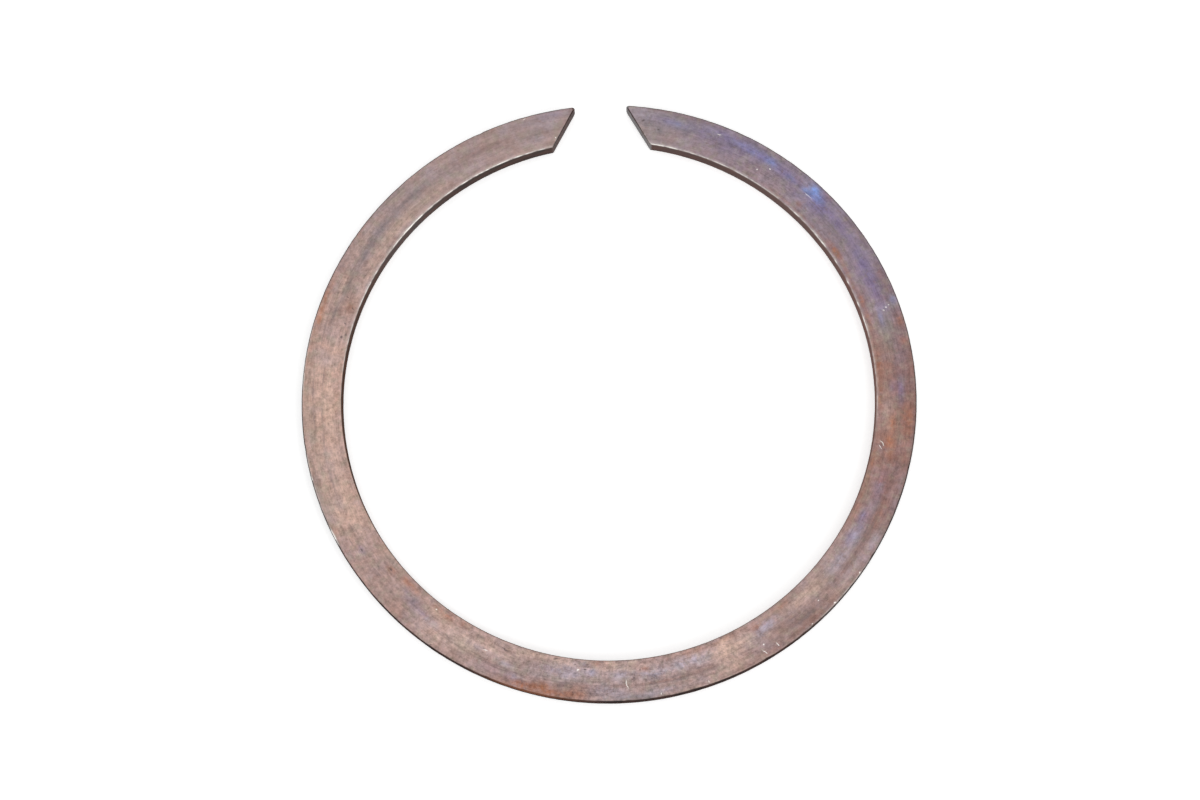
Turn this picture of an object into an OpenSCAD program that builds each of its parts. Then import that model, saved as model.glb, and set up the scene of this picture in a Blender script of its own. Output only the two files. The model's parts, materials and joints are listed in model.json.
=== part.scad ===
// Constant-section retaining ring, wound on edge from flat spring-steel wire, for a groove in a housing bore.
// The ring lies flat. Its axis is Z, its lower face is at Z = 0, and its gap opens towards +Y.

/* [Ring] */
// Outside diameter of the free ring, before it is squeezed into its groove
outer_d = 108; // [80:1:160]
// Width of the flat wire, measured along the ring's radius
wire_width = 7.1; // [5:0.1:10]
// Thickness of the flat wire, between the two thrust faces
wire_thickness = 3; // [2:0.1:4]

/* [Long edges] */
// Rounding of the two edges that run along the outside, which seat in the groove
outer_edge_radius = 0.4; // [0.2:0.05:0.8]
// Rounding of the two edges that run along the inside
inner_edge_radius = 0.25; // [0.1:0.05:0.8]

/* [Ends] */
// Distance between the two points where the end cuts meet the outside of the ring
tip_gap = 9; // [6:0.2:16]
// Slant of each end cut from the line down the middle of the gap, which makes the gap wider inside
end_slant = 29; // [10:0.5:35]
// Rounding of each pointed tip, seen from above
tip_radius = 0.25; // [0.1:0.05:0.8]
// Width of the edge break along the top and the bottom of each end cut
end_break = 0.2; // [0.1:0.05:0.4]

/* [Hidden] */
$fn = 180;

outer_r = outer_d / 2;
inner_r = outer_r - wire_width;

// How far a cutting tool stands clear of the surface that it cuts through
clear = 1;

// Where an end cut meets the outside of the ring, on the +X side of the gap
tip_x = tip_gap / 2;
tip_y = sqrt(outer_r * outer_r - tip_x * tip_x);

// Directions in plan for that end: along the cut towards the tip, and out of the metal into the gap
cut_along = [-sin(end_slant), cos(end_slant)];
cut_out = [-cos(end_slant), -sin(end_slant)];

// The centre of the tip rounding touches the cut from inside, and the outside circle too
tip_inset = [tip_x, tip_y] - tip_radius * cut_out;
inset_along = tip_inset * cut_along;
tip_step = -inset_along + sqrt(
    inset_along * inset_along - tip_inset * tip_inset + pow(outer_r - tip_radius, 2));
tip_centre = tip_inset + tip_step * cut_along;

// The angle of the rounding's centre, and of the cut's outward normal, about Z
tip_centre_angle = atan2(tip_centre[1], tip_centre[0]);
cut_out_angle = 180 + end_slant;

// One corner of a rounded section: what lies between a square corner and its arc
module corner_waste(r) {
    difference() {
        translate([-clear, -clear])
            square(r + clear);
        translate([r, r])
            circle(r);
    }
}

// The wire's section, with X along the radius from the ring's inside, and Y up the thickness
module wire_section() {
    difference() {
        square([wire_width, wire_thickness]);
        for (upper = [0, 1])
            translate([0, upper * wire_thickness])
                mirror([0, upper]) {
                    corner_waste(inner_edge_radius);
                    translate([wire_width, 0])
                        mirror([1, 0])
                            corner_waste(outer_edge_radius);
                }
    }
}

// The closed hoop that the wire makes before its ends are cut
module hoop() {
    rotate_extrude()
        translate([inner_r, 0])
            wire_section();
}

// The gap in plan: narrow at the outside, wide at the inside where a tool reaches in
module gap_plan() {
    slope = tan(end_slant);
    above = outer_r + clear;
    below = inner_r - wire_width;
    half_above = tip_x - (above - tip_y) * slope;
    half_below = tip_x + (tip_y - below) * slope;
    polygon([
        [half_above, above], [-half_above, above],
        [-half_below, below], [half_below, below]
    ]);
}

// What the tip rounding takes off the pointed end on the +X side, in plan
module tip_waste_plan() {
    reach = tip_radius + clear;
    span = cut_out_angle - tip_centre_angle;
    translate(tip_centre)
        difference() {
            polygon([
                [0, 0],
                reach * [cos(tip_centre_angle), sin(tip_centre_angle)],
                reach / cos(span / 2) * [cos(tip_centre_angle + span / 2), sin(tip_centre_angle + span / 2)],
                reach * [cos(cut_out_angle), sin(cut_out_angle)]
            ]);
            circle(tip_radius);
        }
}

// The edge break where the end cut on the +X side meets the upper face
module break_waste() {
    translate([tip_x, tip_y, wire_thickness])
        rotate([0, 0, end_slant])
            rotate([0, 45, 0])
                cube([sqrt(2) * end_break, 4 * wire_width, sqrt(2) * end_break], center = true);
}

// Everything that is cut away at the end on the +X side
module end_waste() {
    translate([0, 0, -clear])
        linear_extrude(wire_thickness + 2 * clear)
            tip_waste_plan();
    break_waste();
    translate([0, 0, wire_thickness])
        mirror([0, 0, 1])
            break_waste();
}

module retaining_ring() {
    color("rosybrown")
        difference() {
            hoop();
            translate([0, 0, -clear])
                linear_extrude(wire_thickness + 2 * clear)
                    gap_plan();
            end_waste();
            mirror([1, 0, 0])
                end_waste();
        }
}

retaining_ring();
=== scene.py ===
# %% [markdown]
# # A flat wire retaining ring, dressed from its CAD frame
#
# The real object is one piece: a length of flat spring-steel wire, wound on edge into a nearly
# closed circle and cut off at a slant at both ends. It holds a bearing in a housing by springing
# out into a groove. This lesson keeps the ring's true sizes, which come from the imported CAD
# frame, and spends its effort on what a clean CAD solid lacks: the worn long edges, the small
# dings, and the skin of heat tint, scale and light rust that old spring steel carries.

# %% The frame, and the CAD box kept for later
import json
import math
import bmesh
import bpy
import numpy as np
from mathutils import Matrix, Vector


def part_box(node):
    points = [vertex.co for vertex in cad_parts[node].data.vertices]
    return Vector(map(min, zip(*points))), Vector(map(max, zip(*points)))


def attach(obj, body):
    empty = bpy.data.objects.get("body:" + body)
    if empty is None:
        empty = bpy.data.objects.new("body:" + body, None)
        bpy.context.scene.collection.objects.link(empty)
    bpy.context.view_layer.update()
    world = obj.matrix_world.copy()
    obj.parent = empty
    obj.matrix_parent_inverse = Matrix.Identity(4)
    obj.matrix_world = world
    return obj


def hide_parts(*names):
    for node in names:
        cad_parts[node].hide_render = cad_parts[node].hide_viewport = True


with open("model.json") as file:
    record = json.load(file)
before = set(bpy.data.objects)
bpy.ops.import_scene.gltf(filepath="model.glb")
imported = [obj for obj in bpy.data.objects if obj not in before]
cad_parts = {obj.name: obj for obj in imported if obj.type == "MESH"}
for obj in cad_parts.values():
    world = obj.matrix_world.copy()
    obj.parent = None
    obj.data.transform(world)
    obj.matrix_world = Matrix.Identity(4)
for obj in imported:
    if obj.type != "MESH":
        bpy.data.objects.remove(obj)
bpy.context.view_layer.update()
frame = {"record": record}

# %% [markdown]
# ## Sizes
#
# A piece that replaces a CAD node must keep that node's form, so nothing here is measured by
# eye. The two radii and the rounding of the long edges follow from the record's mounts: the
# groove seat is the outside wall and the shaft clearance is the inside wall, and each wall is
# shorter than the ring is thick by the two edge roundings. Only the cut of the ends isn't in
# the record, so those four sizes are repeated from the part's source.

# %% The ring's sizes, in metres
MM = 0.001
NODE = "retaining_ring"

lowest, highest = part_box(NODE)
mounts = {mount["name"]: mount["dims"] for mount in frame["record"]["mounts"] if mount["dims"]}

OUTER_R = mounts["groove_seat"]["r_mm"] * MM
INNER_R = mounts["shaft_clearance"]["r_mm"] * MM
THICKNESS = highest[2] - lowest[2]
WIDTH = OUTER_R - INNER_R
MIDDLE_R = (OUTER_R + INNER_R) / 2
OUTER_EDGE = (THICKNESS - mounts["groove_seat"]["length_mm"] * MM) / 2
INNER_EDGE = (THICKNESS - mounts["shaft_clearance"]["length_mm"] * MM) / 2

TIP_GAP = 9 * MM
END_SLANT = math.radians(29)
TIP_RADIUS = 0.25 * MM
END_BREAK = 0.2 * MM

for what, size in (("outer radius", OUTER_R), ("inner radius", INNER_R), ("thickness", THICKNESS),
                   ("outer edge rounding", OUTER_EDGE), ("inner edge rounding", INNER_EDGE)):
    print(what, round(size / MM, 3), "mm")

# %% [markdown]
# ## Where things are on a ring
#
# On a ring it is handy to say where something is by how far round it lies. `turn` is the angle
# from the middle of the gap, clockwise as seen from above, so the right-hand end starts near
# 5 degrees and the left-hand end stops near 355. `across` runs from 0 at the inside wall to 1
# at the outside wall. Each end cut is a straight line in plan, and `cut_turn` says how far
# round that line lies at any radius.

# %% Turn and across
FULL_TURN = 2 * math.pi
tip_x = TIP_GAP / 2
tip_y = math.sqrt(OUTER_R ** 2 - tip_x ** 2)


def turn_of(x, y):
    """Angle from the gap's middle, clockwise from above, from 0 to a full turn."""
    return math.atan2(x, y) % FULL_TURN


def cut_turn(radius):
    """How far from the gap's middle the end cut crosses a circle of this radius."""
    inwards = tip_y * math.cos(END_SLANT) - tip_x * math.sin(END_SLANT)
    down_the_cut = inwards - math.sqrt(inwards ** 2 - (OUTER_R ** 2 - radius ** 2))
    x = tip_x + down_the_cut * math.sin(END_SLANT)
    y = tip_y - down_the_cut * math.cos(END_SLANT)
    return math.atan2(x, y)


print("the cut lies between", round(math.degrees(cut_turn(OUTER_R)), 2),
      "and", round(math.degrees(cut_turn(INNER_R)), 2), "degrees of turn")

# %% [markdown]
# ## The camera
#
# The camera looks down from the front, a little off square, as the ring was seen. It is placed
# first so that every later step can be judged from the right spot. A lens of about 65 mm on a
# 36 mm sensor, a bit under 0.4 m away, gives the same mild perspective: the near side of the
# ring shows a sliver of its outside wall and the far side shows its inside wall.

# %% Camera
CAMERA_TARGET = Vector((-1.53 * MM, -0.43 * MM, 0))
CAMERA_DISTANCE = 385.8 * MM
CAMERA_ELEVATION = math.radians(76.0)
CAMERA_SIDEWAYS = math.radians(2.97)
CAMERA_ROLL = math.radians(-4.59)
LENS_MM = 65.48

towards_camera = Vector((
    math.sin(CAMERA_SIDEWAYS) * math.cos(CAMERA_ELEVATION),
    -math.cos(CAMERA_SIDEWAYS) * math.cos(CAMERA_ELEVATION),
    math.sin(CAMERA_ELEVATION),
))
aim = towards_camera.to_track_quat("Z", "Y").to_matrix().to_4x4()

bpy.ops.object.camera_add()
camera = bpy.context.object
camera.name = "camera"
camera.data.lens = LENS_MM
camera.data.sensor_width = 36
camera.data.clip_start = 0.01
camera.matrix_world = (
    Matrix.Translation(CAMERA_TARGET + towards_camera * CAMERA_DISTANCE)
    @ aim
    @ Matrix.Rotation(CAMERA_ROLL, 4, "Z")
)
bpy.context.scene.camera = camera
print("camera at, mm:", [round(c / MM, 1) for c in camera.matrix_world.translation])

# %% [markdown]
# ## The wire's section
#
# The ring could be cut from a disc, but the real one is wire: one section, carried round. So
# the model starts the same way. A plane is added upright at the place where the wire starts,
# as tall as the ring is thick and as wide as the wire. Its corners are rounded by bevelling
# vertices, with a smaller radius inside than outside. Then its face is removed and the flat
# stretches are subdivided into lanes, so that the skin has enough points for wear to show.

# %% Helpers for picking points and faces by place
BLANK_GAP = math.radians(4)
LANES_ACROSS = 17
LANES_UP = 6
HAIR = 1e-6


def pick(mesh_object, want_point):
    """In edit mode, selects exactly the points for which want_point(co) is true."""
    mesh = bmesh.from_edit_mesh(mesh_object.data)
    for face in mesh.faces:
        face.select_set(False)
    for edge in mesh.edges:
        edge.select_set(False)
    for point in mesh.verts:
        point.select_set(bool(want_point(point.co)))
    mesh.select_flush(True)
    bmesh.update_edit_mesh(mesh_object.data)


def radius_of(co):
    """Distance of a point from the ring's axis."""
    return math.hypot(co.x, co.y)


# %% The section: a plane with four rounded corners
bpy.ops.object.select_all(action="DESELECT")
bpy.ops.mesh.primitive_plane_add(
    size=1,
    location=(MIDDLE_R * math.sin(BLANK_GAP), MIDDLE_R * math.cos(BLANK_GAP), THICKNESS / 2),
    rotation=(0, math.pi / 2, -BLANK_GAP),
)
ring = bpy.context.object
ring.name = "ring_of_flat_wire"
ring.scale = (THICKNESS, WIDTH, 1)
bpy.ops.object.transform_apply(location=True, rotation=True, scale=True)

bpy.ops.object.mode_set(mode="EDIT")
bpy.context.tool_settings.mesh_select_mode = (True, False, False)
for edge_radius, segments, inside in ((INNER_EDGE, 4, True), (OUTER_EDGE, 5, False)):
    pick(ring, lambda co: (radius_of(co) < MIDDLE_R) == inside
         and min(co.z, THICKNESS - co.z) < HAIR
         and min(radius_of(co) - INNER_R, OUTER_R - radius_of(co)) < HAIR)
    bpy.ops.mesh.bevel(offset=edge_radius, segments=segments, affect="VERTICES")
bpy.ops.mesh.select_all(action="SELECT")
bpy.ops.mesh.delete(type="ONLY_FACE")
print("section points after rounding:", len(bmesh.from_edit_mesh(ring.data).verts))

# %% The section: lanes across the faces and up the walls
for cuts, on_the_stretch in (
    (LANES_ACROSS - 1, lambda co: min(co.z, THICKNESS - co.z) < HAIR),
    (LANES_UP - 1, lambda co: min(radius_of(co) - INNER_R, OUTER_R - radius_of(co)) < HAIR),
):
    pick(ring, on_the_stretch)
    bpy.ops.mesh.subdivide(number_cuts=cuts)
print("section points with lanes:", len(bmesh.from_edit_mesh(ring.data).verts))

# %% [markdown]
# ## Winding the wire
#
# A Screw modifier carries the section round the Z axis, as the winding machine did. The spin
# tool gives the same shape, but with over a thousand steps it takes half a minute. The turn
# stops short of a full circle, so the blank has a gap with square ends. Then the two slanted
# ends are needed. Bisecting the blank would leave slivers where the cut crosses the columns, so
# the columns themselves are slid round the ring instead: the first and the last come to lie on
# the cuts, and the rest share out the difference. Every face stays a tidy quad.

# %% Wind the section round the axis
COLUMNS = 1140
bpy.ops.object.mode_set(mode="OBJECT")
winder = ring.modifiers.new("winder", "SCREW")
winder.axis = "Z"
winder.angle = -(FULL_TURN - 2 * BLANK_GAP)
winder.steps = COLUMNS
winder.render_steps = COLUMNS
bpy.ops.object.modifier_apply(modifier=winder.name)
turns = [turn_of(point.co.x, point.co.y) for point in ring.data.vertices]
print("blank wound from", round(math.degrees(min(turns)), 2),
      "to", round(math.degrees(max(turns)), 2), "degrees")

# %% Slide the columns so that both ends lie on their cuts
for point in ring.data.vertices:
    radius = radius_of(point.co)
    share = (turn_of(point.co.x, point.co.y) - BLANK_GAP) / (FULL_TURN - 2 * BLANK_GAP)
    start = cut_turn(radius)
    turn = start + share * (FULL_TURN - 2 * start)
    point.co.x = radius * math.sin(turn)
    point.co.y = radius * math.cos(turn)

bpy.ops.object.mode_set(mode="EDIT")
bpy.ops.mesh.select_all(action="DESELECT")
bpy.ops.mesh.select_non_manifold()
bpy.ops.mesh.fill_holes(sides=0)
bpy.ops.mesh.select_all(action="SELECT")
bpy.ops.mesh.normals_make_consistent(inside=False)
print("faces with both ends closed:", len(bmesh.from_edit_mesh(ring.data).faces))

# %% [markdown]
# ## Filing the ends
#
# A sheared end is never a knife edge. On the real ring both points are blunted and the rims of
# the cuts are broken. Each of those small flats is one stroke of a file, and the bisect tool
# is the file: a plane, and what lies beyond it is cleared and filled. Five strokes round the
# point, then a slanted stroke along every top and bottom rim, and a deeper one over and under
# the point, where handling has knocked the corners off. All but one end is hidden while it is
# filed, because the same planes would also cut the far side of the ring.

# %% One stroke of the file
END_REACH = 13 * MM
TIP_FACETS = 5
POINT_BREAK = 0.5 * MM
POINT_SLOPE = 0.8
CRUMB = 0.004 * MM


def end_strokes(side):
    """The upright faces of one end, each as a point on it and its outward direction."""
    cut_out = Vector((-side * math.cos(END_SLANT), -math.sin(END_SLANT), 0))
    along = Vector((-side * math.sin(END_SLANT), math.cos(END_SLANT), 0))
    corner = Vector((side * tip_x, tip_y, 0))
    inset = corner - cut_out * TIP_RADIUS
    back = inset.dot(along)
    centre = inset + along * (
        math.sqrt(back ** 2 - inset.length_squared + (OUTER_R - TIP_RADIUS) ** 2) - back)
    radial = centre.normalized()
    yield corner - along * WIDTH / 2, cut_out
    step = radial.angle(cut_out) / TIP_FACETS
    for facet in range(TIP_FACETS):
        towards = (Matrix.Rotation(side * step * (facet + 0.5), 3, "Z") @ radial).normalized()
        yield centre + towards * TIP_RADIUS * math.cos(step / 2), towards


def file_off(place, outwards):
    """Cuts what is visible with a plane, clears what lies beyond it and closes the hole."""
    bpy.ops.mesh.select_all(action="SELECT")
    bpy.ops.mesh.bisect(plane_co=place, plane_no=outwards, clear_outer=True, threshold=HAIR)
    bpy.ops.mesh.select_all(action="DESELECT")
    bpy.ops.mesh.select_non_manifold()
    bpy.ops.mesh.fill_holes(sides=0)


# %% File both ends
for side in (1, -1):
    corner = Vector((side * tip_x, tip_y, 0))
    pick(ring, lambda co: co.x * side > 0 and (co - corner).length < END_REACH)
    bpy.ops.mesh.hide(unselected=True)
    strokes = list(end_strokes(side))
    for place, outwards in strokes[1:]:
        file_off(place, outwards)
    for place, outwards in strokes:
        for height, up in ((THICKNESS, 1), (0, -1)):
            rim = place - outwards * END_BREAK + Vector((0, 0, height))
            file_off(rim, (outwards + Vector((0, 0, up))).normalized())
    place, outwards = strokes[1 + TIP_FACETS // 2]
    for height, up in ((THICKNESS, POINT_SLOPE), (0, -POINT_SLOPE)):
        rim = place - outwards * POINT_BREAK + Vector((0, 0, height))
        file_off(rim, (outwards + Vector((0, 0, up))).normalized())
    bpy.ops.mesh.reveal(select=False)
bpy.ops.mesh.select_all(action="SELECT")
bpy.ops.mesh.remove_doubles(threshold=CRUMB)
bpy.ops.mesh.normals_make_consistent(inside=False)
bpy.ops.object.mode_set(mode="OBJECT")

check = bmesh.new()
check.from_mesh(ring.data)
print("points", len(check.verts), "faces", len(check.faces),
      "open edges", sum(1 for edge in check.edges if len(edge.link_faces) != 2),
      "volume mm3", round(check.calc_volume() / MM ** 3, 1))
check.free()

# %% [markdown]
# ## Wear you can feel
#
# The flats of such wire are rolled and lapped, but the long edges have been knocked against
# pliers, housings and other rings, the outer ones most. A Displace modifier with a cloud texture
# makes those dings, and a vertex group keeps them to the edges. Its midlevel is 1, so it only ever
# takes metal away, and the ring stays inside its true size. A few deeper nicks are put where they
# catch the light, and a very shallow, wide wave keeps the flats from looking like glass. All of
# it fades out before the ends, which keep their sharp shape. Weighted normals then keep the
# flats flat right up to the roundings, so that the light catches the edges only in thin lines.

# %% Where every point of the ring lies
def points_of(mesh_object):
    """Turn in degrees, across from 0 to 1, and height from 0 to 1, for every point."""
    flat = np.empty(len(mesh_object.data.vertices) * 3)
    mesh_object.data.vertices.foreach_get("co", flat)
    x, y, z = flat.reshape(-1, 3).T
    turn = np.degrees(np.arctan2(x, y)) % 360
    across = np.clip((np.hypot(x, y) - INNER_R) / WIDTH, 0, 1)
    return turn, across, np.clip(z / THICKNESS, 0, 1)


def spot(turn, across, at_turn, at_across, reach_turn, reach_across):
    """A soft round spot: 1 in its middle, fading out over its reach each way."""
    round_way = (turn - at_turn) / reach_turn
    cross_way = (across - at_across) / reach_across
    return np.exp(-(round_way ** 2 + cross_way ** 2))


def behind_the_cut(turn, across):
    """How far behind the nearer cut each point lies, in metres."""
    radius = INNER_R + across * WIDTH
    sideways = np.abs(radius * np.sin(np.radians(turn))) - tip_x
    forwards = radius * np.cos(np.radians(turn)) - tip_y
    behind = sideways * math.cos(END_SLANT) + forwards * math.sin(END_SLANT)
    return np.where(np.cos(np.radians(turn)) > 0, behind, OUTER_R)


turn, across, height = points_of(ring)
print("turns", turn.min().round(2), "to", turn.max().round(2), "for", len(turn), "points")

# %% The edges and the nicks, as vertex groups
EDGE_FADE = 0.4 * MM
INSIDE_SHARE = 0.4
END_FADE = 1.5 * MM
NICK_TURNS = (106, 113, 124, 131, 140.8, 151.5, 166, 178, 204, 241, 250.5, 261, 336)
NICK_DEGREES = 0.45
NICK_ACROSS = 0.045
UPPER_QUARTER = 0.75
TOO_FAINT = 0.01


def long_edge_weight(across, height):
    """1 on the outer long edges, INSIDE_SHARE on the inner ones, fading over EDGE_FADE."""
    from_wall = np.minimum(across, 1 - across) * WIDTH
    from_flat = np.minimum(height, 1 - height) * THICKNESS
    near = np.exp(-(from_wall ** 2 + from_flat ** 2) / EDGE_FADE ** 2)
    return near * np.where(across > 0.5, 1, INSIDE_SHARE)


def vertex_group(mesh_object, name, weights):
    """Makes a vertex group from one weight per point, leaving out the points with none."""
    group = mesh_object.vertex_groups.new(name=name)
    for index in np.nonzero(weights > TOO_FAINT)[0]:
        group.add([int(index)], float(weights[index]), "REPLACE")
    print(name, "touches", int((weights > TOO_FAINT).sum()), "points")


nicks = np.zeros(len(turn))
for at_turn in NICK_TURNS:
    nicks += spot(turn, across, at_turn, 1.0, NICK_DEGREES, NICK_ACROSS) * (height > UPPER_QUARTER)
clear_of_ends = np.clip((behind_the_cut(turn, across) - TIP_RADIUS) / END_FADE, 0, 1)
vertex_group(ring, "clear_of_ends", clear_of_ends)
vertex_group(ring, "long_edges", clear_of_ends * long_edge_weight(across, height))
vertex_group(ring, "nicks", np.clip(nicks, 0, 1))

# %% Wear the edges, press the nicks and wave the flats
EDGE_WEAR = 0.08 * MM
EDGE_DENT_SIZE = 1.1 * MM
FLAT_WAVE = 0.02 * MM
FLAT_WAVE_SIZE = 5.5 * MM
NICK_DEPTH = 0.07 * MM
SMOOTH_BELOW = math.radians(36)


def wear(mesh_object, depth, size, contrast, group):
    """Takes up to depth away in soft dents of this size, on a vertex group.

    The ramp caps the clouds at white, so that nowhere is metal added."""
    clouds = bpy.data.textures.new("wear_clouds", type="CLOUDS")
    clouds.noise_scale = size
    clouds.noise_depth = 2
    clouds.contrast = contrast
    clouds.intensity = 1.2
    clouds.use_color_ramp = True
    clouds.color_ramp.elements[0].color = (0, 0, 0, 1)
    clouds.color_ramp.elements[1].color = (1, 1, 1, 1)
    dents = mesh_object.modifiers.new("dents", "DISPLACE")
    dents.texture = clouds
    dents.texture_coords = "LOCAL"
    dents.strength = depth
    dents.mid_level = 1
    dents.vertex_group = group
    bpy.ops.object.modifier_apply(modifier=dents.name)


bpy.ops.object.select_all(action="DESELECT")
ring.select_set(True)
bpy.context.view_layer.objects.active = ring
wear(ring, EDGE_WEAR, EDGE_DENT_SIZE, contrast=1.6, group="long_edges")
wear(ring, FLAT_WAVE, FLAT_WAVE_SIZE, contrast=1.0, group="clear_of_ends")

press = ring.modifiers.new("nicks", "DISPLACE")
press.strength = -NICK_DEPTH
press.mid_level = 0
press.vertex_group = "nicks"
bpy.ops.object.modifier_apply(modifier=press.name)
bpy.ops.object.shade_smooth_by_angle(angle=SMOOTH_BELOW)
flatter = ring.modifiers.new("flatter", "WEIGHTED_NORMAL")
flatter.keep_sharp = True
bpy.ops.object.modifier_apply(modifier=flatter.name)
reach = max(radius_of(point.co) for point in ring.data.vertices)
print("the worn ring reaches", round(reach / MM, 3), "mm from its axis")

# %% [markdown]
# ## A map that follows the wire
#
# Streaks on the ring run along the wire, so the finish needs coordinates that do the same. The
# UV map is the ring unrolled: U is the turn, V is how far across. The gap leaves room at both
# sides of the map, so no face crosses its seam.

# %% Unroll the ring into a UV map
turn, across, height = points_of(ring)
corner_point = np.empty(len(ring.data.loops), dtype=np.int32)
ring.data.loops.foreach_get("vertex_index", corner_point)
unrolled = ring.data.uv_layers.new(name="along_the_wire")
corners = np.column_stack((turn[corner_point] / 360, across[corner_point]))
unrolled.data.foreach_set("uv", corners.ravel())
print("U from", corners[:, 0].min().round(3), "to", corners[:, 0].max().round(3))

# %% [markdown]
# ## Painting where each finish lies
#
# Heat tint, rust, scale and bare metal don't lie evenly on a used ring: they sit in patches
# that have their own places. Each finish is painted as a number on every point, from soft spots
# given one by one, the way you would dab with a weight brush, and listed clockwise from the gap.
# The shader later breaks the soft spots up with noise. The side the ring lies on gets the same
# dabs, moved round by about a third.

# %% The brush
UNDERSIDE_SHIFT = 128
top_side = height > 0.5
brush_turn = np.where(top_side, turn, (turn + UNDERSIDE_SHIFT) % 360)
print("points on the upper side:", int(top_side.sum()), "of", len(turn))


def paint(name, dabs, only=1.0):
    """Paints one finish from (turn, across, reach round, reach across, strength) dabs."""
    left_bare = np.ones(len(turn))
    for at_turn, at_across, reach_turn, reach_across, strength in dabs:
        left_bare *= 1 - strength * spot(
            brush_turn, across, at_turn, at_across, reach_turn, reach_across)
    layer = ring.data.attributes.new(name=name, type="FLOAT", domain="POINT")
    layer.data.foreach_set("value", ((1 - left_bare) * only).astype(np.float32))
    print(name, "covers", round(float((1 - left_bare).mean()) * 100, 1), "% of the ring")


# %% Heat tint: violet, where the steel was warm
paint("violet_tint", (
    (13, 0.72, 3, 0.12, 0.35), (20, 0.62, 4, 0.12, 0.35), (24, 0.76, 4, 0.12, 0.5),
    (27, 0.45, 7, 0.14, 0.35), (32, 0.7, 6, 0.12, 0.8), (40, 0.66, 4, 0.14, 0.7),
    (44, 0.42, 3, 0.12, 0.4), (48.5, 0.62, 3, 0.3, 0.8), (54, 0.62, 5, 0.14, 0.55),
    (62, 0.62, 4, 0.12, 0.6), (66, 0.5, 4, 0.18, 0.75), (71, 0.55, 4, 0.14, 0.5), (84, 0.7, 6, 0.2, 0.12),
    (90.5, 0.4, 1.5, 0.08, 0.4), (91, 0.6, 2.5, 0.1, 0.5), (111, 0.42, 3, 0.14, 0.35),
    (118, 0.34, 3, 0.14, 0.4), (123.5, 0.3, 1.6, 0.12, 0.5), (203, 0.75, 4, 0.12, 0.2),
    (221, 0.47, 2, 0.05, 0.35), (224, 0.38, 3, 0.12, 0.25), (238.5, 0.55, 1.2, 0.06, 0.5),
    (351, 0.88, 4, 0.1, 0.2),
))

# %% Heat tint: blue, where it was hottest, and a painted reflection on the outer half near 46 degrees
paint("blue_tint_and_reflection", (
    (15.2, 0.68, 2, 0.08, 0.24), (28, 0.72, 1.6, 0.07, 0.18), (31.5, 0.67, 3.5, 0.07, 0.2),
    (33, 0.8, 5, 0.07, 0.15), (36, 0.69, 1.1, 0.08, 0.6), (41.5, 0.64, 1.5, 0.06, 0.25),
    # The strong dabs from 45 to 47.6 degrees are a painted reflection, bright blue with a hard inner rim.
    (45, 0.64, 1, 0.06, 0.6), (46.4, 0.78, 1.2, 0.14, 1), (47.6, 0.7, 1.5, 0.1, 0.75),
    (72.8, 0.88, 0.9, 0.09, 0.35), (75.5, 0.43, 2, 0.06, 0.28), (118, 0.3, 1.5, 0.06, 0.25),
    (121.3, 0.4, 2, 0.06, 0.15), (148, 0.3, 2.2, 0.09, 0.12), (184.8, 0.3, 1, 0.07, 0.12),
    (193, 0.34, 2.4, 0.07, 0.12),
))

# %% Lilac silver, where the skin is rubbed off
paint("lilac_silver", (
    (9, 0.8, 3, 0.16, 0.5), (16, 0.68, 3, 0.1, 0.25), (20, 0.78, 2, 0.08, 0.2),
    (23.8, 0.74, 1.2, 0.06, 0.6), (29, 0.74, 2, 0.05, 0.4), (30.7, 0.76, 2, 0.07, 0.25),
    (36.8, 0.8, 1, 0.05, 0.5), (47.5, 0.88, 1.5, 0.08, 0.25), (74, 0.64, 0.9, 0.16, 0.6),
    (112, 0.92, 5, 0.05, 0.3), (115, 0.42, 5, 0.1, 0.2), (122, 0.84, 2.5, 0.1, 0.5),
    (123, 0.32, 2.2, 0.12, 0.7), (124.5, 0.9, 2, 0.06, 0.4), (127, 0.74, 5, 0.14, 0.3),
    (128, 0.38, 4, 0.12, 0.75), (148, 0.32, 2.5, 0.12, 0.85), (148.4, 0.9, 1.5, 0.06, 0.5),
    (150.6, 0.42, 1.5, 0.08, 0.4), (164, 0.32, 4, 0.14, 0.9), (167, 0.28, 1.5, 0.14, 0.6),
    (171, 0.84, 4, 0.07, 0.6), (172.5, 0.38, 3.5, 0.12, 0.9), (172.6, 0.46, 1.5, 0.06, 0.5),
    (179, 0.34, 3, 0.12, 0.7), (181, 0.78, 3.5, 0.12, 0.6), (183, 0.65, 2, 0.12, 0.5),
    (184.8, 0.3, 1.4, 0.09, 0.95), (187, 0.1, 1.5, 0.06, 0.6), (190, 0.24, 3, 0.12, 0.6),
    (190, 0.42, 5, 0.12, 0.6), (199.3, 0.74, 1.1, 0.08, 0.9), (202, 0.53, 1.6, 0.06, 0.6),
    (208, 0.42, 4, 0.1, 0.4), (219, 0.5, 2.5, 0.1, 0.5), (308.8, 0.9, 2, 0.06, 0.3),
    (346.5, 0.3, 3, 0.1, 0.45), (347, 0.74, 4, 0.16, 0.3), (350.5, 0.88, 3, 0.1, 0.4),
))

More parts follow.
